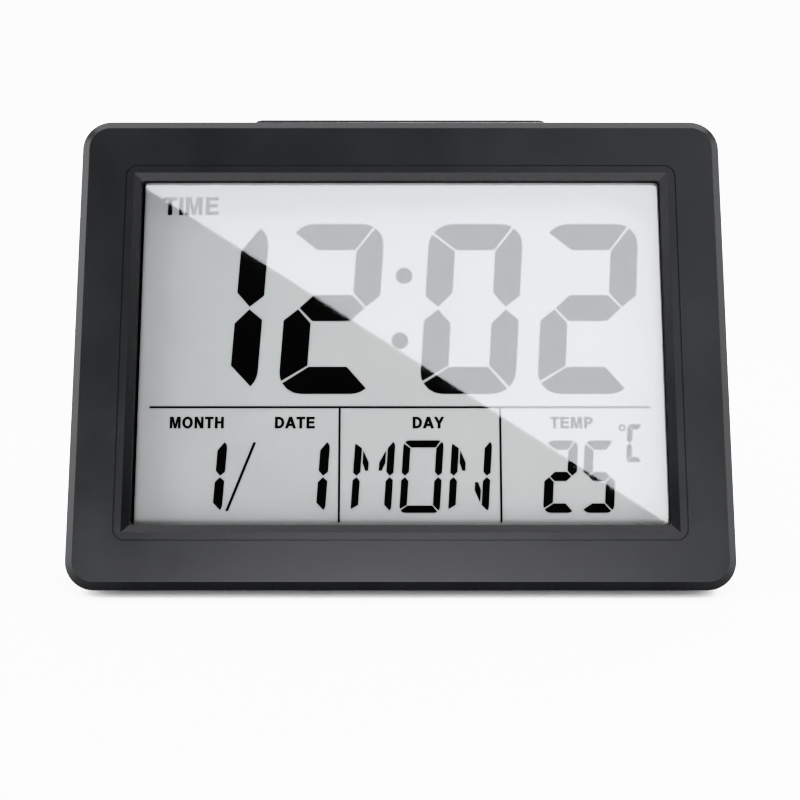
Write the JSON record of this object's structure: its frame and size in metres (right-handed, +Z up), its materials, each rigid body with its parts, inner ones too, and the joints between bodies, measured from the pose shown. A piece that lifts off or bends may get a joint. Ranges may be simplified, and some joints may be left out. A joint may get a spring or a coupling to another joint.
{
  "type": "digital desk alarm clock",
  "caption": "Desk alarm clock with a leaning face, a large segment display of time, date, day and temperature, a snooze bar on top, and keys and a battery door at the back.",
  "frame": {"origin": "middle of the clock's outline, on the surface that its feet stand on", "axes": "+X to the right as the display is read, +Y from the display to the back, +Z up"},
  "size_m": [0.135, 0.0481, 0.098],
  "materials": {
    "case_plastic": "black, fine spark texture",
    "key_plastic": "black, satin",
    "lens_plastic": "clear, polished",
    "film": "grey polarizing film",
    "display_glass": "clear",
    "display_back": "grey reflecting film behind glass",
    "segments": "black display segments",
    "white_plastic": "white",
    "grey_rubber": "matt",
    "black_rubber": "matt",
    "circuit_board": "green solder mask",
    "black_resin": "black resin",
    "blue_sleeve": "blue sleeve",
    "steel": "zinc plated",
    "cell_sleeve": null,
    "buzzer_brass": "bright",
    "red_wire": "insulation",
    "black_wire": "insulation",
    "grey_wire": "flat cable"
  },
  "bodies": {
    "clock": {"front_frame": "case_plastic", "display_lens": "lens_plastic", "front_polarizer": "film", "front_glass": "display_glass", "display_segments": "segments", "rear_glass": "display_back", "rear_polarizer": "display_back", "light_guide": "lens_plastic", "reflector_sheet": "white_plastic", "backlight_leds": "white_plastic", "display_holder": "white_plastic", "contact_strip": "grey_rubber", "main_board": "circuit_board", "chip_cover": "black_resin", "quartz_crystal": "steel", "capacitors": "blue_sleeve", "board_resistors": "black_resin", "temperature_sensor": "black_resin", "snooze_switch": "black_resin", "board_screws": "steel", "rear_case": "case_plastic", "case_screws": "steel", "feet": "black_rubber", "battery_cells": "cell_sleeve", "contact_springs": "steel", "contact_plates": "steel", "positive_lead": "red_wire", "negative_lead": "black_wire", "key_board": "circuit_board", "key_switches": "black_resin", "key_board_screws": "steel", "slide_switch": "steel", "buzzer_disc": "buzzer_brass", "buzzer_element": "white_plastic", "buzzer_leads": "red_wire", "ribbon_cable": "grey_wire"},
    "snooze": {"snooze_bar": "key_plastic"},
    "set_button": {"set_key": "key_plastic"},
    "up_button": {"up_key": "key_plastic"},
    "down_button": {"down_key": "key_plastic"},
    "unit_button": {"unit_key": "key_plastic"},
    "alarm_button": {"alarm_key": "key_plastic"},
    "alarm_switch": {"alarm_slider": "key_plastic", "slide_lever": "black_resin"},
    "door": {"battery_door": "case_plastic"}
  },
  "joints": [
    {"name": "snooze_press", "type": "slide", "parent": "clock", "child": "snooze", "axis": [0, -0.2588, -0.9659], "range_m": [0, 0.001], "stiffness_N_per_m": 600, "springref_m": -0.0005},
    {"name": "set_press", "type": "slide", "parent": "clock", "child": "set_button", "axis": [0, -1, 0], "range_m": [0, 0.0006], "stiffness_N_per_m": 1000, "springref_m": -0.0003},
    {"name": "up_press", "type": "slide", "parent": "clock", "child": "up_button", "axis": [0, -1, 0], "range_m": [0, 0.0006], "stiffness_N_per_m": 1000, "springref_m": -0.0003},
    {"name": "down_press", "type": "slide", "parent": "clock", "child": "down_button", "axis": [0, -1, 0], "range_m": [0, 0.0006], "stiffness_N_per_m": 1000, "springref_m": -0.0003},
    {"name": "unit_press", "type": "slide", "parent": "clock", "child": "unit_button", "axis": [0, -1, 0], "range_m": [0, 0.0006], "stiffness_N_per_m": 1000, "springref_m": -0.0003},
    {"name": "alarm_press", "type": "slide", "parent": "clock", "child": "alarm_button", "axis": [0, -1, 0], "range_m": [0, 0.0006], "stiffness_N_per_m": 1000, "springref_m": -0.0003},
    {"name": "alarm_slide", "type": "slide", "parent": "clock", "child": "alarm_switch", "axis": [1, 0, 0], "range_m": [0, 0.003]},
    {"name": "door_hinge", "type": "hinge", "parent": "clock", "child": "door", "pos_m": [0, 0.02305, 0.0085], "axis": [-1, 0, 0], "range_deg": [0, 85]}
  ]
}
